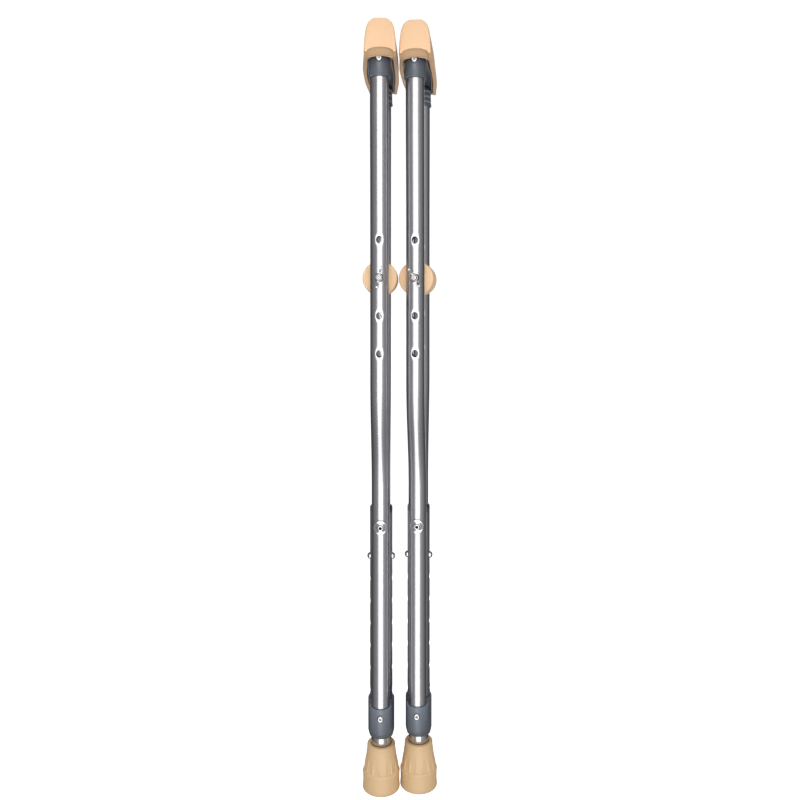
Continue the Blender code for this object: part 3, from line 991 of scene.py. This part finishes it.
def cast_zinc(name):
    """A dull casting with fine sand grain and rubbed edges."""
    nodes = metal_nodes(name)
    cloud = nodes.noise(300.0, 4.0)
    dull = nodes.mixed(cloud, (0.40, 0.40, 0.41), (0.28, 0.28, 0.285))
    nodes.colour(nodes.mixed(nodes.edges(), dull, (0.72, 0.72, 0.72)))
    nodes.roughness(nodes.ranged(cloud, 0.3, 0.7, 0.26, 0.42))
    nodes.bump(nodes.noise(1800.0, 2.0), 0.3, 0.00005)
    return nodes.material


def spring_steel(name):
    """Rolled strip with fine lines along its length."""
    nodes = metal_nodes(name)
    grain = nodes.noise(1.0, 3.0, stretch=(1500, 1500, 60))
    nodes.colour(nodes.mixed(grain, (0.50, 0.50, 0.52), (0.38, 0.37, 0.36)))
    nodes.roughness(nodes.ranged(grain, 0.3, 0.7, 0.24, 0.42))
    nodes.bump(grain, 0.15, 0.00003)
    return nodes.material


def moulded_plastic(name, first, second, rough_low, rough_high):
    """Spark-textured plastic whose edges are painted lighter: partly rubbed wear, partly a painted highlight.
    """
    nodes = Nodes(name)
    cloud = nodes.noise(45.0, 4.0)
    grain = nodes.noise(900.0, 2.0)
    # Edge colour much lighter than the body: rubbed wear and a painted highlight along sharp edges.
    wear_and_highlight = tuple(min(1.0, c * 2.4) for c in first)
    nodes.colour(nodes.mixed(nodes.edges(), nodes.mixed(cloud, first, second), wear_and_highlight))
    nodes.roughness(nodes.ranged(grain, 0.3, 0.7, rough_low, rough_high))
    nodes.bump(grain, 0.35, 0.00006)
    return nodes.material


def soft_skin(name, light, dark, grain_scale, grain_depth, rough_low, rough_high):
    """Moulded foam skin or rubber: cloudy colour, fine pores, rubbed edges."""
    nodes = Nodes(name)
    cloud = nodes.ranged(nodes.noise(28.0, 5.0), 0.3, 0.7, 0.0, 1.0)
    speck = nodes.ranged(nodes.noise(grain_scale, 3.0), 0.35, 0.65, 0.0, 1.0)
    grained = nodes.mixed(speck, nodes.mixed(cloud, light, dark), tuple(c * 0.94 for c in light))
    nodes.colour(nodes.mixed(nodes.edges(), grained, tuple(min(1.0, c * 1.08) for c in light)))
    nodes.roughness(nodes.ranged(speck, 0.0, 1.0, rough_low, rough_high))
    nodes.bump(nodes.noise(grain_scale, 4.0), 0.4, grain_depth)
    nodes.bump(nodes.noise(60.0, 3.0), 0.25, 0.0004)
    return nodes


def tip_rubber(name):
    """Tan rubber, darker towards its sole."""
    nodes = soft_skin(name, (0.645, 0.44, 0.238), (0.58, 0.39, 0.202), 700.0, 0.00010, 0.50, 0.66)
    upper_colour = nodes.shader.inputs["Base Color"].links[0].from_socket
    # The lowest 12 mm are mixed towards a darker tan.
    near_floor = nodes.ranged(nodes.height(), 0.0, 0.012, 0.45, 0.0)
    nodes.colour(nodes.mixed(near_floor, upper_colour, (0.50, 0.33, 0.17)))
    return nodes.material


def bore_painted_shade(name):
    """The bore of a drawn tube, dull and streaked; its dark colour is painted shade."""
    nodes = metal_nodes(name)
    streaks = nodes.noise(1.0, 4.0, stretch=(700, 700, 40))
    # The dark colour is painted shade inside the tube.
    nodes.colour(nodes.mixed(streaks, (0.20, 0.20, 0.21), (0.12, 0.12, 0.125)))
    nodes.roughness(nodes.ranged(streaks, 0.3, 0.7, 0.45, 0.65))
    nodes.bump(streaks, 0.2, 0.00004)
    return nodes.material


def make_materials():
    """The materials by their slots in the record, and two that only fine pieces use: bore, painted dark as
    painted shade, and casting.
    """
    return {
        # painted shade for the inside of the tubes
        "bore": bore_painted_shade("tube_bore_painted_shade"),
        "casting": cast_zinc("cast_zinc"),
        "tube_aluminium": drawn_aluminium(
            "tube_aluminium", (0.63, 0.62, 0.66), (0.56, 0.555, 0.585), 0.24, 0.33
        ),
        "leg_aluminium": drawn_aluminium(
            "leg_aluminium", (0.70, 0.70, 0.71), (0.62, 0.62, 0.63), 0.18, 0.26
        ),
        "pad_foam": soft_skin(
            "pad_foam", (0.67, 0.425, 0.240), (0.61, 0.38, 0.208), 1100.0, 0.00006, 0.46, 0.60
        ).material,
        "grip_foam": soft_skin(
            "grip_foam", (0.84, 0.58, 0.345), (0.78, 0.53, 0.305), 1500.0, 0.00016, 0.66, 0.82
        ).material,
        "tip_rubber": tip_rubber("tip_rubber"),
        "grey_plastic": moulded_plastic(
            "grey_plastic", (0.088, 0.101, 0.121), (0.067, 0.077, 0.096), 0.34, 0.50
        ),
        "cap_plastic": moulded_plastic(
            "cap_plastic", (0.045, 0.047, 0.05), (0.03, 0.031, 0.034), 0.30, 0.48
        ),
        "core_plastic": moulded_plastic(
            "core_plastic", (0.62, 0.60, 0.54), (0.55, 0.53, 0.48), 0.38, 0.52
        ),
        "plated_steel": plated_steel("plated_steel"),
        "spring_steel": spring_steel("spring_steel"),
    }


# ---------------------------------------------------------------- assembly


BORE_SKIN = 0.35
TUBE_BORES = {
    "front_bow_tube": BOW_RADIUS - BOW_WALL + BORE_SKIN,
    "rear_bow_tube": BOW_RADIUS - BOW_WALL + BORE_SKIN,
    "column_tube": COLUMN_BORE + BORE_SKIN,
    "leg_tube": LEG_BORE + BORE_SKIN,
}


def paint_shade_in_bore(node, piece, material):
    """Gives the faces inside a tube the bore's material, whose dark colour is painted shade. Call it before
    the piece is put in place.
    """
    limit = TUBE_BORES[node]
    piece.data.materials.append(material)
    side = {"front_bow_tube": FRONT, "rear_bow_tube": REAR}.get(node, 0)
    for face in piece.data.polygons:
        x, y, z = face.center
        if math.hypot(x, y - side * bow_offset(z)) < limit:
            face.material_index = 1


def crutch_matrix(frame, prefix):
    """Takes the crutch's own frame, in millimetres, to the shared frame, in metres."""
    low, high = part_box(f"{prefix}_leg_tube")
    centre = (low + high) / 2
    joint = next(j for j in frame["joints"] if j["name"] == f"{prefix}_grip_spin")
    yaw = math.atan2(-joint["axis"][0], joint["axis"][1])
    return Matrix.Translation((centre.x, centre.y, 0)) @ Matrix.Rotation(yaw, 4, "Z") @ Matrix.Scale(MM, 4)


def crutch_pieces(prefix):
    """Each fine piece of one crutch by the CAD node that it replaces."""
    inner, outer = ("+X", "-X") if prefix == "left" else ("-X", "+X")
    return {
        "underarm_pad": underarm_pad(),
        "underarm_support": underarm_support(),
        "front_support_rivet": short_rivet(BOW_TOP, SOCKET_RIVET_Z, SOCKET_RADIUS, FRONT),
        "rear_support_rivet": short_rivet(BOW_TOP, SOCKET_RIVET_Z, SOCKET_RADIUS, REAR),
        "front_bow_tube": bow_tube(FRONT),
        "rear_bow_tube": bow_tube(REAR),
        "handgrip": handgrip(),
        "handgrip_bolt": grip_bolt(),
        "front_grip_washer": saddle_washer(PLAIN_FACE, BOW_GRIP, GRIP_Z, FRONT),
        "rear_grip_washer": saddle_washer(PLAIN_FACE, BOW_GRIP, GRIP_Z, REAR),
        "wing_nut": wing_nut(WING_TURN_DEG[prefix]),
        "column_tube": column_tube(),
        "column_top_cap": column_cap(),
        "column_rivet": column_rivet(),
        "front_column_washer": saddle_washer(DISHED_FACE, BOW_NEAR, COLUMN_RIVET_Z, FRONT),
        "rear_column_washer": saddle_washer(DISHED_FACE, BOW_NEAR, COLUMN_RIVET_Z, REAR),
        "bottom_bracket": bottom_bracket(),
        "front_bracket_rivet": short_rivet(BOW_NEAR, BRACKET_RIVET_Z, BRACKET_SOCKET_RADIUS, FRONT),
        "rear_bracket_rivet": short_rivet(BOW_NEAR, BRACKET_RIVET_Z, BRACKET_SOCKET_RADIUS, REAR),
        "leg_tube": leg_tube(),
        "inner_snap_button": snap_button(inner),
        "outer_snap_button": snap_button(outer),
        "rubber_tip": rubber_tip(),
    }


def body_and_slot(frame, node):
    """The CAD body that holds a node, and its material slot in the record."""
    bodies = frame["record"]["behaviour"]["bodies"]
    body = next(name for name, members in bodies.items() if node in members)
    slot = next(part["material_slot"] for part in frame["record"]["subparts"] if part["node"] == node)
    return body, slot


def add_crutch(frame, prefix, materials):
    """Makes one crutch's fine pieces, puts them in place and ties each to the CAD node that it replaces."""
    place = crutch_matrix(frame, prefix)
    pieces = crutch_pieces(prefix)
    for node, piece in pieces.items():
        cad_node = f"{prefix}_{node}"
        body, slot = body_and_slot(frame, cad_node)
        piece.name = f"{cad_node}_fine"
        piece.data.name = piece.name
        piece.data.materials.clear()
        piece.data.materials.append(materials["casting" if node == "wing_nut" else slot])
        if node in TUBE_BORES:
            # The faces inside a tube get the bore's painted shade.
            paint_shade_in_bore(node, piece, materials["bore"])
        piece.data.transform(place)
        piece.data.shade_smooth()
        piece.data.set_sharp_from_angle(angle=math.radians(32))
        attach(piece, body)
        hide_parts(cad_node)


def finish_cad_nodes(frame, materials):
    """Gives each CAD node its material, which shows on those that no fine piece replaces."""
    for node, obj in frame["nodes"].items():
        _, slot = body_and_slot(frame, node)
        obj.data.materials.clear()
        obj.data.materials.append(materials[slot])


# ---------------------------------------------------------------- stage


def add_camera():
    """A level camera almost straight in front."""
    azimuth = math.radians(CAMERA_AZIMUTH_DEG)
    data = bpy.data.cameras.new("camera")
    data.lens = CAMERA_LENS_MM
    data.sensor_width = 36.0
    data.shift_y = CAMERA_SHIFT_Y
    camera = bpy.data.objects.new("camera", data)
    right = CAMERA_DISTANCE * math.sin(azimuth)
    forward = CAMERA_DISTANCE * math.cos(azimuth)
    camera.location = (right, -forward, CAMERA_HEIGHT)
    camera.rotation_euler = (math.pi / 2, 0, azimuth)
    bpy.context.scene.collection.objects.link(camera)
    bpy.context.scene.camera = camera


def add_area_light(name, location, target, size, power):
    data = bpy.data.lights.new(name, "AREA")
    data.shape = "RECTANGLE"
    data.size, data.size_y = size
    data.energy = power
    light = bpy.data.objects.new(name, data)
    light.location = location
    light.rotation_euler = (Vector(target) - Vector(location)).to_track_quat("-Z", "Z").to_euler()
    bpy.context.scene.collection.objects.link(light)
    return light


def add_lights():
    """A tall softbox that shows only in the metal, and two that light only what is matt."""
    shine = add_area_light(
        "front_softbox", location=(0.12, -1.75, -0.55), target=(0.0, 0.0, -0.55), size=(1.75, 6.4), power=70.0
    )
    shine.visible_diffuse = False
    key = add_area_light(
        "key_softbox", location=(-0.5, -1.9, 2.2), target=(0.0, 0.0, 0.55), size=(1.8, 1.4), power=30.0
    )
    key.visible_glossy = False
    fill = add_area_light(
        "low_softbox", location=(0.5, -2.0, 0.7), target=(0.0, 0.0, 0.3), size=(1.6, 1.0), power=17.0
    )
    fill.visible_glossy = False


def ramp(tree, value, low, high, out_low, out_high):
    node = tree.nodes.new("ShaderNodeMapRange")
    node.inputs["From Min"].default_value = low
    node.inputs["From Max"].default_value = high
    node.inputs["To Min"].default_value = out_low
    node.inputs["To Max"].default_value = out_high
    tree.links.new(value, node.inputs["Value"])
    return node.outputs["Result"]


def chosen(tree, switch, otherwise, value):
    """The second value where the switch is 1, else the first. Either may be a number or an output."""
    node = tree.nodes.new("ShaderNodeMix")
    node.data_type = "FLOAT"
    tree.links.new(switch, node.inputs[0])
    for socket, given in ((node.inputs[2], otherwise), (node.inputs[3], value)):
        if isinstance(given, float):
            socket.default_value = given
        else:
            tree.links.new(given, socket)
    return node.outputs[0]


def add_world():
    """White to the camera and soft grey to what it lights. Metal shows it dark, but for a patch behind."""
    world = bpy.data.worlds.new("studio")
    world.use_nodes = True
    bpy.context.scene.world = world
    tree = world.node_tree
    paths = tree.nodes.new("ShaderNodeLightPath")
    direction = tree.nodes.new("ShaderNodeTexCoord")
    parts = tree.nodes.new("ShaderNodeSeparateXYZ")
    tree.links.new(direction.outputs["Generated"], parts.inputs["Vector"])
    sides = tree.nodes.new("ShaderNodeMath")
    sides.operation = "MULTIPLY"
    tree.links.new(ramp(tree, parts.outputs["Y"], -0.55, 0.65, 0.36, 0.025), sides.inputs[0])
    tree.links.new(ramp(tree, parts.outputs["X"], -0.5, 0.6, 0.8, 1.05), sides.inputs[1])
    mirrored = tree.nodes.new("ShaderNodeMath")
    mirrored.operation = "ADD"
    tree.links.new(sides.outputs["Value"], mirrored.inputs[0])
    tree.links.new(ramp(tree, parts.outputs["Y"], 0.84, 0.94, 0.0, 0.9), mirrored.inputs[1])
    ambient = ramp(tree, parts.outputs["Z"], -0.5, 0.7, 0.74, 0.48)
    unseen = chosen(tree, paths.outputs["Is Glossy Ray"], ambient, mirrored.outputs["Value"])
    seen = chosen(tree, paths.outputs["Is Camera Ray"], unseen, 1.05)
    background = tree.nodes["Background"]
    background.inputs["Color"].default_value = (1.0, 1.0, 1.0, 1.0)
    tree.links.new(seen, background.inputs["Strength"])


def add_floor():
    """A plain white floor just below the legs at their full length. It casts no shadow and no reflection."""
    signs = ((-1, -1), (1, -1), (1, 1), (-1, 1))
    corners = [(FLOOR_HALF * x, FLOOR_HALF * y, FLOOR_Z) for x, y in signs]
    floor = mesh_object("floor", corners, [(0, 1, 2, 3)])
    nodes = Nodes("floor_white")
    nodes.colour(nodes.mixed(nodes.noise(3.0, 2.0), (0.80, 0.80, 0.80), (0.78, 0.78, 0.78)))
    nodes.shader.inputs["Roughness"].default_value = 0.9
    nodes.shader.inputs["Specular IOR Level"].default_value = 0.0
    nodes.shader.inputs["Emission Color"].default_value = (1.0, 1.0, 1.0, 1.0)
    nodes.shader.inputs["Emission Strength"].default_value = 0.75
    floor.data.materials.append(nodes.material)
    floor.visible_glossy = False
    floor.visible_diffuse = False
    floor.visible_shadow = False


def main():
    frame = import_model()
    bpy.context.scene.view_settings.view_transform = "Standard"
    add_camera()
    add_lights()
    add_world()
    add_floor()
    materials = make_materials()
    finish_cad_nodes(frame, materials)
    for prefix in ("left", "right"):
        add_crutch(frame, prefix, materials)


main()
